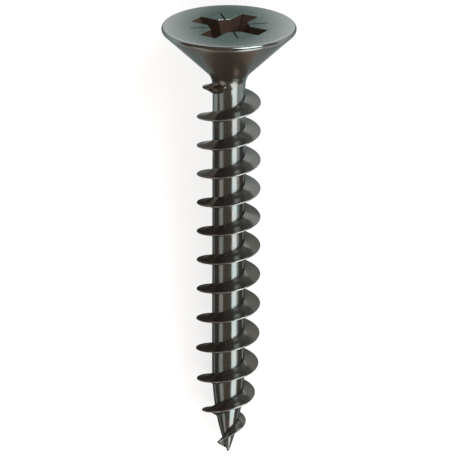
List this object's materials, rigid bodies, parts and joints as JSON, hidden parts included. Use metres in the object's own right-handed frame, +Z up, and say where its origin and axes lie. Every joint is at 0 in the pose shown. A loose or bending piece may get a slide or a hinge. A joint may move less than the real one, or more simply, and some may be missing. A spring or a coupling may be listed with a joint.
{
  "type": "countersunk head screw",
  "caption": "Countersunk head chipboard screw with a cross recess, a deep coarse right-hand thread and a tapered point.",
  "frame": {"origin": "on the ground, under the middle of the box of the screw as it lies at rest", "axes": "+Z up; the screw lies along Y with its head towards -Y and its point towards +Y, resting on the rim of the head and on one thread crest, so its axis dips towards the point"},
  "size_m": [0.0088, 0.0302, 0.0088],
  "materials": {
    "blackened_steel": "burnished black steel, glossy"
  },
  "bodies": {
    "root": {"screw": "blackened_steel"}
  },
  "joints": []
}
